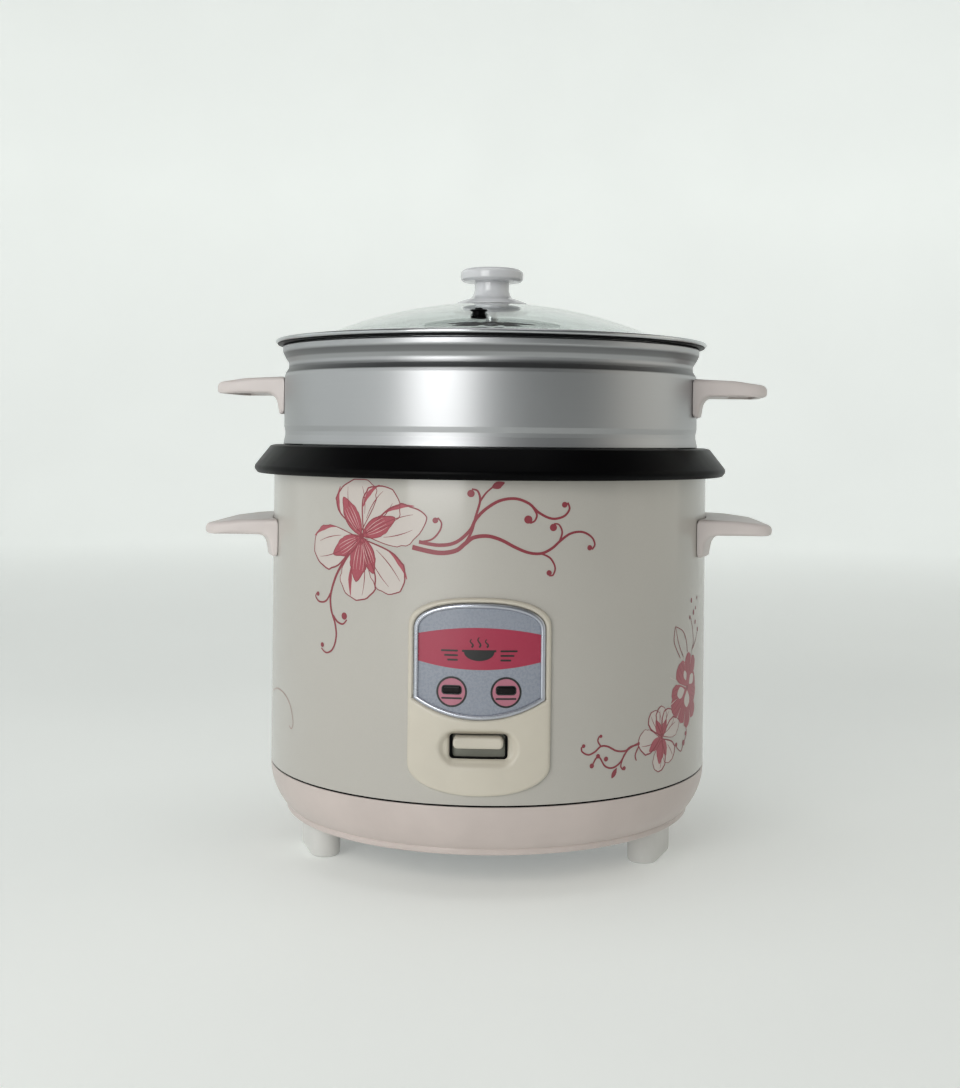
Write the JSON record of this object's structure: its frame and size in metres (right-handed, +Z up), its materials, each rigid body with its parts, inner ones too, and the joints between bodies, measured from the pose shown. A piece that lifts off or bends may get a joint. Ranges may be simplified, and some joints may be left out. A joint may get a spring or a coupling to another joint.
{
  "type": "rice cooker",
  "caption": "Drum rice cooker with a printed steel body, flared black rim, side handles, aluminium steamer tier and domed glass lid with knob.",
  "frame": {"origin": "centre of the footprint, on the surface that the feet stand on", "axes": "+Z up along the body's axis, front panel faces -Y, handles lie along +X and -X"},
  "size_m": [0.3172, 0.2736, 0.332],
  "materials": {
    "pearl_plastic": "satin moulded plastic, slightly pink white",
    "grey_plastic": "moulded plastic, pale grey",
    "printed_steel": "pearl grey-beige lacquered steel with a printed pattern",
    "black_plastic": "satin black heat-resistant plastic",
    "plain_steel": "bright zinc-plated sheet steel",
    "screw_steel": "plated screws and pins",
    "ivory_plastic": "cream moulded plastic",
    "bezel_chrome": "silver plated plastic trim",
    "label_print": "printed film, grey with a crimson band",
    "lamp_smoke": "dark translucent lamp window",
    "lamp_glass": "neon indicator lamp",
    "white_plastic": "plain moulded plastic",
    "cast_aluminium": "machined cast aluminium",
    "heater_sheath": "dark oxidised heating rod",
    "heater_band": "mica insulated heater band",
    "ferrite": "sintered ferrite",
    "spring_steel": "spring wire",
    "brass_part": "turned brass",
    "wire_brown": "insulated wire",
    "wire_blue": "insulated wire",
    "wire_white": "insulated wire",
    "wire_green": "insulated wire",
    "pot_aluminium": "satin anodised aluminium",
    "steamer_aluminium": "satin spun aluminium",
    "clear_glass": "clear tempered glass",
    "rim_steel": "polished stainless band",
    "knob_plastic": "white glossy plastic"
  },
  "bodies": {
    "cooker": {"base_shell": "pearl_plastic", "bottom_plate": "plain_steel", "foot_front_left": "grey_plastic", "foot_front_right": "grey_plastic", "foot_rear": "grey_plastic", "foot_screws": "screw_steel", "tie_rods": "plain_steel", "tie_rod_screws": "screw_steel", "outer_shell": "printed_steel", "top_ring": "black_plastic", "inner_casing": "plain_steel", "ring_screws": "screw_steel", "body_handle_left": "pearl_plastic", "body_handle_right": "pearl_plastic", "body_handle_screws": "screw_steel", "panel_frame": "ivory_plastic", "panel_trim": "bezel_chrome", "panel_label": "label_print", "cook_lamp_window": "lamp_smoke", "warm_lamp_window": "lamp_smoke", "lamp_holder": "white_plastic", "cook_lamp": "lamp_glass", "warm_lamp": "lamp_glass", "heating_plate": "cast_aluminium", "heating_element": "heater_sheath", "plate_posts": "plain_steel", "keep_warm_band": "heater_band", "thermal_fuse": "white_plastic", "thermostat_frame": "plain_steel", "thermostat_screws": "screw_steel", "sensor_spring": "spring_steel", "magnet_spring": "spring_steel", "lever_bracket": "plain_steel", "lever_pin": "screw_steel", "bracket_screws": "screw_steel", "microswitch": "black_plastic", "inlet_socket": "black_plastic", "inlet_pins": "brass_part", "inlet_screws": "screw_steel", "live_wire": "wire_brown", "neutral_wire": "wire_blue", "element_wire": "wire_white", "earth_wire": "wire_green"},
    "sensor": {"sensor_cap": "cast_aluminium", "sensor_ferrite": "ferrite"},
    "magnet": {"thermostat_magnet": "ferrite", "magnet_rod": "brass_part"},
    "lever": {"switch_lever": "plain_steel", "switch_button": "ivory_plastic"},
    "plunger": {"microswitch_plunger": "white_plastic"},
    "pot": {"inner_pot": "pot_aluminium"},
    "steamer": {"steamer_body": "steamer_aluminium", "steamer_floor": "steamer_aluminium", "steamer_handle_left": "pearl_plastic", "steamer_handle_right": "pearl_plastic", "steamer_rivets": "screw_steel"},
    "lid": {"lid_glass": "clear_glass", "lid_band": "rim_steel", "lid_knob": "knob_plastic", "lid_fittings": "screw_steel"}
  },
  "joints": [
    {"name": "pot_lift", "type": "slide", "parent": "cooker", "child": "pot", "axis": [0, 0, 1], "range_m": [0, 0.16]},
    {"name": "steamer_lift", "type": "slide", "parent": "pot", "child": "steamer", "axis": [0, 0, 1], "range_m": [0, 0.1]},
    {"name": "lid_lift", "type": "slide", "parent": "steamer", "child": "lid", "axis": [0, 0, 1], "range_m": [0, 0.1]},
    {"name": "sensor_rise", "type": "slide", "parent": "cooker", "child": "sensor", "axis": [0, 0, 1], "range_m": [0, 0.0041], "deforming": ["sensor_spring"]},
    {"name": "cook_lever", "type": "hinge", "parent": "cooker", "child": "lever", "pos_m": [0, -0.06, 0.064], "axis": [1, 0, 0], "range_deg": [0, 4.6], "stiffness_Nm_per_rad": 2, "springref_deg": -5.73},
    {"name": "magnet_rise", "type": "slide", "parent": "cooker", "child": "magnet", "axis": [0, 0, 1], "range_m": [0, 0.00485], "deforming": ["magnet_spring"]},
    {"name": "plunger_press", "type": "slide", "parent": "cooker", "child": "plunger", "axis": [0, 0, 1], "range_m": [-0.00165, 0]}
  ],
  "couplings": [
    {"joint": "sensor_rise", "follows": "pot_lift", "ratio": 0.025},
    {"joint": "magnet_rise", "follows": "cook_lever", "m_per_rad": 0.06},
    {"joint": "plunger_press", "follows": "cook_lever", "m_per_rad": -0.02}
  ]
}
